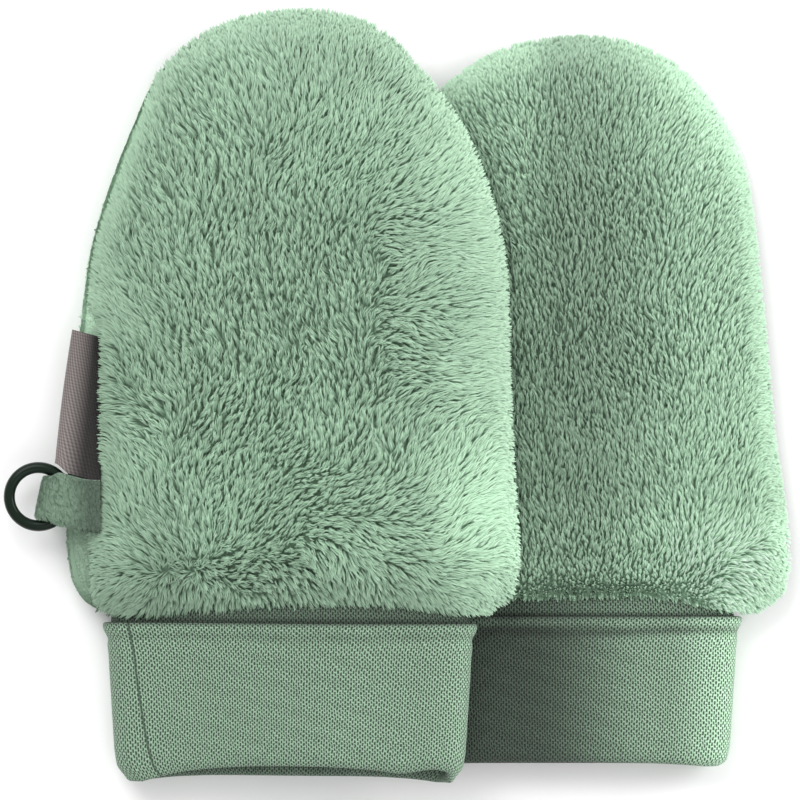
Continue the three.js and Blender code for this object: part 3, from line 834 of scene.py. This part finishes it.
def knit_material(name, seam=None):
    """Fine jersey in the flat cloth's own millimetres: upright holes between the stitches' legs.

    Holes stand in columns half a wale apart, each column half a course lower than the last. seam
    gives the side seam's place across the cloth as a quadratic of the place along it.
    """
    material = plain_material(name, "knit_light", 0.85, 0.12)
    flat = add(material, "ShaderNodeUVMap", uv_map="flat")
    split = add(material, "ShaderNodeSeparateXYZ")
    link(material, flat.outputs["UV"], split.inputs[0])
    warp = add(material, "ShaderNodeTexNoise", Scale=0.5, Detail=2.0)
    link(material, flat.outputs["UV"], warp.inputs["Vector"])
    sway = maths(material, "MULTIPLY", maths(material, "SUBTRACT", warp.outputs["Fac"], 0.5), 0.7)
    across = maths(material, "ADD", split.outputs["X"], sway)
    along = maths(material, "ADD", split.outputs["Y"], sway)
    wave_x = maths(material, "COSINE", maths(material, "MULTIPLY", across, TURN / WALE))
    wave_y = maths(material, "COSINE", maths(material, "MULTIPLY", along, TURN / COURSE))
    staggered = maths(material, "MULTIPLY", maths(material, "SIGN", wave_x), wave_y)
    columns = ramp(material, maths(material, "ABSOLUTE", wave_x), 0.25, 1.0)
    holes = maths(material, "MULTIPLY", columns, ramp(material, staggered, -0.95, 0.25))
    speck = add(material, "ShaderNodeTexNoise", Scale=2.6, Detail=3.0)
    link(material, flat.outputs["UV"], speck.inputs["Vector"])
    uneven = maths(material, "MULTIPLY", ramp(material, speck.outputs["Fac"], 0.3, 0.75), 0.5)
    dark = maths(material, "MINIMUM", maths(material, "ADD", holes, uneven), 1.0)
    yarn = mixed(material, dark, paint("knit_light"), paint("knit_dark"))
    if seam is not None:
        bend = maths(material, "MULTIPLY", split.outputs["Y"], seam[0])
        bend = maths(material, "MULTIPLY", maths(material, "ADD", bend, seam[1]), split.outputs["Y"])
        away = maths(material, "SUBTRACT", split.outputs["X"], maths(material, "ADD", bend, seam[2]))
        beside_line = ramp(material, maths(material, "ABSOLUTE", away), 0.08, 0.42)
        line = maths(material, "SUBTRACT", 1.0, beside_line)
        yarn = mixed(material, maths(material, "MULTIPLY", line, 0.8), yarn, paint("seam"))
    tinted(material, yarn)
    raised(material, maths(material, "SUBTRACT", 1.0, holes), 0.6, 0.0003)
    return material


def climb(x, up):
    """The part's S shaped ramp: height times smoothstep over its width, leaning with the right edge."""
    end = CLIMB["end"] + CLIMB["lean"] * up
    low = CLIMB["height"] + (CLIMB["mouth"] - CLIMB["height"]) * np.clip(-up / CLIMB["mouth_down"], 0, 1)
    full = np.where(up < 0, low, CLIMB["height"])
    return full * smooth(x, end - CLIMB["width"], end)


def resampled(profile, step, length):
    """A profile's rows at an even step, rounded by averaging over one step."""
    down, out = profile["down"] * length, profile["out"]
    run = np.r_[0, np.cumsum(np.hypot(np.diff(down), np.diff(out)))]
    even = np.linspace(0, run[-1], int(run[-1] / step) + 1)
    down, out = np.interp(even, run, down), np.interp(even, run, out)
    for values in (down, out):
        values[1:-1] = (values[:-2] + 2 * values[1:-1] + values[2:]) / 4
    return down, out, even


def cuff_sheet(side, name, profile, step, wrinkle, tint, seam=None):
    """A cuff's cloth: its profile carried round the flattened tube.

    x = shift + along half(down) + out cos(turn), z = level(down) + out sin(turn) + bow, and climb.
    """
    facts = CUFFS[side]
    down0, out, run = resampled(profile, step, facts["length"])
    straight, bend = int(66 / step), int(13 / step)
    # Round the tube from its underside's left end, so that the flat cloth's ends meet out of sight.
    along = np.concatenate([
        np.linspace(-1, 1, straight, endpoint=False), np.full(bend, 1.0),
        np.linspace(1, -1, straight, endpoint=False), np.full(bend, -1.0),
    ])
    turn = np.concatenate([
        np.full(straight, -math.pi / 2), np.linspace(-0.5, 0.5, bend, endpoint=False) * math.pi,
        np.full(straight, math.pi / 2), np.linspace(0.5, 1.5, bend, endpoint=False) * math.pi,
    ])
    a, t = along[None, :], turn[None, :]
    upper = np.maximum(0, np.sin(t))
    middle = 1 - a * a
    full = down0[:, None]
    low = smooth(full, 0.35 * facts["length"], facts["length"])
    down = full - facts["arch"] * upper * middle * low
    # The mouth's corners hang lower, and the upper layer's right one is drawn up.
    down = down + low**2 * (facts["corners"] * a**4 - facts["drawn_up"] * upper * smooth(a, 0.7, 1))
    half = np.interp(down, CUFF_HALF_WIDTHS["down"], CUFF_HALF_WIDTHS["half"]) - BAND_OUT
    o = out[:, None] + wrinkle * np.sin(a * 9 + 1.3 * full) * np.sin(a * 23 + 0.5) * middle
    level = SEAM_HEIGHT + (CUFF_REST_HEIGHT - SEAM_HEIGHT) * smooth(down, 0, CUFF_DROOP_END)
    x = facts["shift"] + a * half + o * np.cos(t)
    z = level + o * np.sin(t) + facts["crown"] * upper * middle * smooth(down, 0, facts["length"])
    if side == "left":
        z = z + climb(x, -down)
    points = np.dstack([x + facts["place"][0] + SHIFT[0], -down + facts["place"][1] + SHIFT[1], z])
    points[..., 2] = np.maximum(points[..., 2], CUFF_OFF_FLOOR)
    rows, columns = x.shape
    wide = np.cumsum(np.r_[0, np.hypot(np.diff(x[rows // 2]), np.diff(z[rows // 2]))])
    uv = np.dstack([np.broadcast_to(wide[None, :], x.shape), np.broadcast_to(run[:, None], x.shape)])
    line = None
    if seam is not None:
        # The flat places of the front layer's points nearest to the seam's points.
        spots = np.stack([seam["x"], seam["y"]], -1)
        far = np.hypot(*(points[:, :, :2][:, :, None, :] - spots).transpose(3, 0, 1, 2))
        far[(out < 3.9)[:, None] | (np.sin(turn) < 0)[None, :], :] = np.inf
        nearest = far.reshape(-1, len(spots)).argmin(0)
        line = np.polyfit(uv[..., 1].ravel()[nearest], uv[..., 0].ravel()[nearest], 2)
    # Painted shade: darker inside the tube.
    inside = 1 - 0.5 * smooth(-out, -3.3, -2.4)[:, None]
    colours = np.broadcast_to((tint(side, points) * inside)[..., None], points.shape)
    faces = grid_faces(rows, columns, True)
    piece = make_mesh(name, points.reshape(-1, 3), faces, knit_material(name, line),
                      uv=uv.reshape(-1, 2), colours=colours.reshape(-1, 3))
    return piece, (float(wide[-1]) * MM, float(run[-1]) * MM)


def folded_path(root_x, root_z, root_spread, fold_x, fold_z, fold_half, steps=24):
    """Centre line of a strip folded over at its left end, from the lower root to the upper one.

    The layers part from root_spread to fold_half on the first half of the way, and the fold is half
    a circle with that radius.
    """
    share = np.linspace(0, 1, steps)
    open_share = smooth(share, 0, 0.5)
    x = root_x + (fold_x + fold_half - root_x) * share
    z = root_z + (fold_z - root_z) * open_share
    spread = root_spread + (fold_half - root_spread) * open_share
    turn = np.linspace(0, math.pi, steps)[1:-1]
    bend_x = fold_x + fold_half - fold_half * np.sin(turn)
    bend_z = fold_z - fold_half * np.cos(turn)
    return np.r_[x, bend_x, x[::-1]], np.r_[z - spread, bend_z, (z + spread)[::-1]]


def strip_normals(x, z):
    """The normals (-dz, dx) / length of a path in x and z."""
    dx, dz = np.gradient(x, axis=-1), np.gradient(z, axis=-1)
    long = np.hypot(dx, dz)
    return -dz / long, dx / long


def label_piece():
    """The folded label: its path in x and z carried along y, half_thick to both sides of the path."""
    share = np.linspace(0, 1, LABEL["rows"])
    fold = LABEL["fold_top"] + (LABEL["fold_foot"] - LABEL["fold_top"]) * share
    bow = LABEL["bow"] * np.sin(share * math.pi)
    root = (LABEL["root"], LABEL["root_level"], LABEL["root_spread"])
    paths = [folded_path(*root, f + LABEL["fold_in"] - b, LABEL["fold_level"], LABEL["fold_half"])
             for f, b in zip(fold, bow)]
    x, z = np.array([p[0] for p in paths]), np.array([p[1] for p in paths])
    nx, nz = strip_normals(x, z)
    half = LABEL["half_thick"]
    x = np.concatenate([x + nx * half, (x - nx * half)[:, ::-1]], 1)
    z = np.concatenate([z + nz * half, (z - nz * half)[:, ::-1]], 1)
    slant = LABEL["slant"] * (x - LABEL["fold_top"]) / LABEL["slant_over"]
    y = (LABEL["top"] + (LABEL["foot"] - LABEL["top"]) * share)[:, None] + slant
    # The foot of the label reaches the loop, clear of the ring.
    y = y - LABEL["foot_drop"] * smooth(x, -49.2, -46.4) * smooth(share, 0.8, 1)[:, None]
    z = z + climb(x, y)
    points = np.dstack([x + LEFT_PLACE[0] + SHIFT[0], y + LEFT_PLACE[1] + SHIFT[1], z])
    run = np.cumsum(np.hypot(np.diff(x[0], prepend=x[0, 0]), np.diff(z[0], prepend=z[0, 0])))
    long = share[:, None] * LABEL["woven_length"]
    uv = np.dstack([np.broadcast_to(run[None, :], x.shape), np.broadcast_to(long, x.shape)])
    # Painted shade: darker towards the seam, where it goes in under the pile. Also a little darker towards
    # its top.
    inward = smooth(x - fold[:, None], 0.8, 6.4)
    dim = 1.08 - 1.0 * inward - 0.2 * (1 - share[:, None])
    colours = np.clip(dim, 0.06, 1.15)[..., None] * np.array([1.0, 0.95, 0.95])
    faces = grid_faces(*x.shape, True)
    piece = make_mesh("label", points.reshape(-1, 3), faces, label_material(), uv=uv.reshape(-1, 2),
                      colours=colours.reshape(-1, 3))
    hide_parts("side_label")


def label_material():
    """A satin weave: slanting ridges, a little uneven from pick to pick."""
    material = plain_material("label weave", "label_light", 0.5, 0.1)
    finish_of(material).inputs["Specular IOR Level"].default_value = 0.3
    flat = add(material, "ShaderNodeUVMap", uv_map="flat")
    split = add(material, "ShaderNodeSeparateXYZ")
    link(material, flat.outputs["UV"], split.inputs[0])
    lean = maths(material, "MULTIPLY", split.outputs["Y"], 0.22)
    slope = maths(material, "SUBTRACT", split.outputs["X"], lean)
    ridges = maths(material, "SINE", maths(material, "MULTIPLY", slope, TURN / RIDGE))
    picks = maths(material, "SINE", maths(material, "MULTIPLY", split.outputs["Y"], TURN / PICK))
    wave = maths(material, "ADD", ridges, maths(material, "MULTIPLY", picks, 0.6))
    wave = maths(material, "ADD", maths(material, "MULTIPLY", wave, 0.31), 0.5)
    tinted(material, mixed(material, wave, paint("label_light"), paint("label_dark")))
    raised(material, wave, 0.8, 0.00012)
    return material


def loop_pieces():
    """The loop: its folded path given width, narrow in the ring's hole, and a short pile on it."""
    left = LOOP["fold"]
    x, z = folded_path(LOOP["root"], LOOP["root_level"], LOOP["root_spread"], left + LOOP["fold_in"],
                       LOOP["fold_level"], LOOP["fold_half"], 30)
    nx, nz = strip_normals(x, z)
    widths = np.linspace(-1, 1, 26)
    corner = np.sqrt(np.clip(1 - widths**8, 0, 1))
    open_share = smooth(x, left + LOOP["in_ring"], left + LOOP["wide_from"])
    half = LOOP["narrow_half"] + (LOOP["wide_half"] - LOOP["narrow_half"]) * open_share
    middle = LOOP["middle"] - LOOP["drop"] * smooth(x, left + LOOP["in_ring"], LOOP["drop_until"])
    y = middle[:, None] + half[:, None] * widths
    thick = LOOP["half_thick"] * corner[None, :]
    # The fold leans: its lower end reaches further left.
    lean = x[:, None] + LOOP["lean"] * widths * (1 - smooth(x, left, LOOP["lean_until"]))[:, None]
    outer = np.dstack([lean + nx[:, None] * thick, y, z[:, None] + nz[:, None] * thick])
    inner = np.dstack([lean - nx[:, None] * thick, y, z[:, None] - nz[:, None] * thick])
    points = np.concatenate([outer, inner[:, ::-1]], 1)
    # Painted shade: darker towards the seam, where the loop goes in under the pile.
    tint = 1 - 0.6 * smooth(points[..., 0], -47.5, -42.0)
    points[..., 2] += climb(points[..., 0], points[..., 1])
    points[..., :2] += LEFT_PLACE + SHIFT
    faces = grid_faces(points.shape[0], points.shape[1], True)
    fleece = plain_material("loop cloth", "fleece", 0.9, 0.3)
    base = make_mesh("loop_cloth", points.reshape(-1, 3), faces, fleece)
    round_way = np.roll(points, -1, 1) - np.roll(points, 1, 1)
    normals = unit(np.cross(np.gradient(points, axis=0), round_way))
    # The normals face out of the cloth, away from its own middle.
    away = points - points.mean(1, keepdims=True)
    normals *= np.sign((normals * away).sum(-1).mean())
    form = {"points": points, "normals": normals, "share": np.zeros(points.shape[:2]), "slope": points,
            "tint": tint}
    style = dict(STYLES["loop"], centre=(LEFT_PLACE + SHIFT + RING_LOCAL), side=None)
    fuzz = pile("loop_pile", form, LOOP_NAP, style, 16000, 31)
    for piece in (base, fuzz):
        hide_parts("hanging_loop")


def ring_piece():
    """The ring: R = radius + wire cos v, z = wire sin v, with a shallow mould line at its outside."""
    around, across = 160, 36
    u = np.arange(around) * TURN / around
    v = np.arange(across) * TURN / across
    bulge = np.exp(-((np.minimum(v, TURN - v)) / RING["mould_width"]) ** 2)
    r = RING["wire"] + RING["mould_line"] * bulge
    radius = RING["radius"] + r * np.cos(v)
    centre = node_centre("hanging_ring")
    points = np.dstack([
        centre[0] + np.outer(np.cos(u), radius),
        centre[1] + np.outer(np.sin(u), radius),
        np.broadcast_to(centre[2] + r * np.sin(v), (around, across)),
    ])
    faces = grid_faces(around + 1, across, True) % (around * across)
    material = plain_material("ring plastic", "ring", 0.26)
    finish_of(material).inputs["Specular IOR Level"].default_value = 0.16
    noise = add(material, "ShaderNodeTexNoise", Scale=900.0, Detail=2.0)
    where = add(material, "ShaderNodeTexCoord")
    link(material, where.outputs["Object"], noise.inputs["Vector"])
    raised(material, noise.outputs["Fac"], 0.06, 0.0002)
    piece = make_mesh("ring", points.reshape(-1, 3), faces, material, body="ring")
    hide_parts("hanging_ring")


PILE = pile_material("pile")
# Tufts: their spacing, stretch along the nap, swing and wander of their ways, and stray of their
# blades, with the blades' width, run along the nap and pull to the tuft's middle. From edge_from on
# the rim begins, with its own height edge, more by bushy, and its light edge_light, a painted light
# that is a painted shade below 0. strip is 1 where the left strip has a short pile, lighter by
# painted light, and soft where the nap there isn't turned outwards.
EVEN = {"run": 1.0, "rise": 1.0, "bushy": 0.0, "strip": 0.0, "soft": 0.0}
STYLES = {
    "left": dict(
        EVEN, spacing=1.12, stretch=1.8, swing=0.42, wander=0.4, stray=0.07, width=0.33, run=0.84,
        soft=1.0, pull=0.72, edge=0.82, edge_from=0.87, edge_light=-0.02, lock=0.7, mottle=0.2, dim=1.0,
    ),
    "right": dict(
        EVEN, spacing=0.85, stretch=1.8, swing=0.32, wander=0.25, stray=0.07, width=0.31, run=0.74,
        pull=0.7, edge=0.8, edge_from=0.84, edge_light=-0.05, lock=0.7, mottle=0.2, dim=1.06,
    ),
    "back": dict(
        EVEN, spacing=1.2, stretch=1.5, swing=0.25, wander=0.3, stray=0.03, width=0.42, bushy=0.6,
        rise=0.25, pull=0.0, edge=0.28, edge_from=0.8, edge_light=-0.1, lock=0.0, mottle=0.05, dim=0.7,
    ),
    "loop": dict(
        EVEN, spacing=1.1, stretch=1.5, swing=0.7, wander=0.4, stray=0.06, width=0.16, rise=0.8,
        pull=0.3, edge=0.4, edge_from=0.86, edge_light=0.0, lock=0.1, mottle=0.3, dim=0.53,
    ),
}


def mitten(side, nap, counts, seed, keep_front=None):
    """One mitten's cloth panels with their pile, and its cuff."""
    middle = CUFFS[side]["place"] + SHIFT + (0, MIDDLE_UP)
    front = Panel(side + "_front_panel", middle)
    back = Panel(side + "_back_panel", middle)
    front_form = backing(front, True, INSETS[side], FULLNESS["front"], SPREAD[side + "_front"])
    back_form = backing(back, False, INSETS["back"], FULLNESS["back"], SPREAD[side + "_back"], front)
    front_style = dict(STYLES[side], centre=middle, side=side)
    back_style = dict(STYLES["back"], centre=middle, side=None, strip=float(side == "left"))
    panels = (
        ("front", front_form, nap, front_style, seed, keep_front),
        ("back", back_form, BACK_NAP, back_style, seed + 1, rim_first),
    )
    for part, form, ways, style, draw, keep in panels:
        faces = grid_faces(*form["share"].shape, True)
        cloth = make_mesh(f"{side}_{part}_cloth", form["points"].reshape(-1, 3), faces, PILE,
                          colours=backing_colours(form, ways, style))
        fur = pile(f"{side}_{part}_pile", form, ways, style, counts[part], draw, keep)
        for piece in (cloth, fur):
            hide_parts(f"{side}_{part}_panel")
        low, high = form["points"].reshape(-1, 3).min(0), form["points"].reshape(-1, 3).max(0)
        # Laid flat, the curved cloth is a little longer and wider than its box.
        flat = tuple(float(v) * MM for v in (high - low)[:2] + FLAT_EXTRA)
    seam = SEAM if side == "left" else None
    cuff = (
        cuff_sheet(side, f"{side}_cuff_band", BAND_PROFILE, 0.62, 0.2, band_tint, seam),
        cuff_sheet(side, f"{side}_cuff_sleeve", SLEEVE_PROFILE, 0.8, 0.0, sleeve_tint),
    )
    for piece, flat in cuff:
        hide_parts(f"{side}_cuff")


def roll_top(facts):
    """The y of a band's rolled edge."""
    return facts["place"][1] + SHIFT[1] - ROLL_DOWN * facts["length"]


def band_tint(side, points):
    """Painted shade at the rolled edge's far side, in the groove under it and beside the left cuff, and
    painted light to the right of lit_from.
    """
    facts = CUFFS[side]
    top = roll_top(facts)
    x, y = points[..., 0], points[..., 1]
    lowest = top - GROOVE_DOWN + 0.35 * np.sin(x / 8)
    groove = facts["groove"] * np.exp(-(((lowest - y) / 0.9) ** 2))
    groove = groove * (0.75 + 0.25 * np.sin(x / 11 - 3.2))
    lit = 1 + facts["lit"] * smooth(x, facts["lit_from"], facts["lit_from"] + 12)
    near = beside(side, x) ** (1 - 0.45 * smooth(y, top - 2.6, top - 1.4))
    return (1 - 0.5 * smooth(y, top - 1.2, top - 0.2)) * (1 - groove) * near * lit


def sleeve_tint(side, points):
    """Painted shade where the sleeve goes in under the band, and on the right cuff the painted shade beside
    the left cuff.
    """
    top = roll_top(CUFFS[side])
    x, y = points[..., 0], points[..., 1]
    if side == "right":
        return (1.35 - 0.85 * smooth(-y, -top - 1.0, -top)) * beside(side, x) ** 0.5
    return 0.8 - 0.45 * smooth(-y, -top - 1.6, -top)


def beside(side, x):
    """Painted shade: the right cuff is darker, most of all in the narrow place beside the left cuff, which
    shades it.
    """
    if side == "left":
        return np.ones_like(x)
    return 0.18 + 0.82 * smooth(x, LEFT_CUFF_EDGE + 6, LEFT_CUFF_EDGE + 39) ** 1.8


def rim_first(points, share):
    """The back panel's pile is thinner on its underside than at the rim."""
    return np.where(share > 0.93, 1.0, 0.35)


def right_shown(points, share):
    """1 where the right front shows, 0 deep under the left mitten."""
    x, y = points[..., 0], points[..., 1]
    edge = np.interp(y, RIGHT_EDGE["y"], RIGHT_EDGE["x"])
    return (x > edge - HIDDEN_REACH).astype(float)


mitten("left", LEFT_NAP, {"front": 66000, "back": 34000}, 11)
mitten("right", RIGHT_NAP, {"front": 60000, "back": 30000}, 21, right_shown)
label_piece()
loop_pieces()
ring_piece()

# Floor, light and camera.
floor_mesh = bpy.data.meshes.new("floor")
floor_mesh.from_pydata([(-3, -3, 0), (3, -3, 0), (3, 3, 0), (-3, 3, 0)], [], [(0, 1, 2, 3)])
floor_mesh.materials.append(plain_material("floor", "floor", 0.9))
floor = bpy.data.objects.new("floor", floor_mesh)
floor.location.z = -0.0004
bpy.context.scene.collection.objects.link(floor)


def softbox(name, place, size, power):
    """A square soft light in metres and watts, turned to the pair."""
    light = bpy.data.lights.new(name, "AREA")
    light.shape = "RECTANGLE"
    light.size = light.size_y = size
    light.energy = power
    lamp = bpy.data.objects.new(name, light)
    lamp.location = place
    lamp.rotation_euler = (LIT_PLACE - Vector(place)).to_track_quat("-Z", "Y").to_euler()
    bpy.context.scene.collection.objects.link(lamp)


LIT_PLACE = Vector((0.0, 0.0, 0.01))
softbox("key", (-0.35, 0.65, 0.75), 0.7, 6.5)
softbox("side", (0.9, 0.3, 0.35), 0.6, 7)
softbox("fill", (0.3, -0.6, 1.0), 0.8, 2)

world = bpy.data.worlds.new("studio")
bpy.context.scene.world = world
world.use_nodes = True
sky = world.node_tree.nodes["Background"]
sky.inputs["Color"].default_value = (1, 1, 1, 1)
sky.inputs["Strength"].default_value = 0.74
bpy.context.scene.view_settings.view_transform = "Standard"

# Straight above, with the photo's frame, whose middle is a little off the pair's. The frame's width
# is measured at the pair's middle height. All in metres.
DISTANCE = 1.6
FRAME_WIDTH = 0.1664
SENSOR = 36
camera = bpy.data.cameras.new("camera")
camera.sensor_width = SENSOR
camera.lens = SENSOR * DISTANCE / FRAME_WIDTH
eye = bpy.data.objects.new("camera", camera)
eye.location = (0.78 * MM, -1.48 * MM, DISTANCE + 0.012)
bpy.context.scene.collection.objects.link(eye)
bpy.context.scene.camera = eye
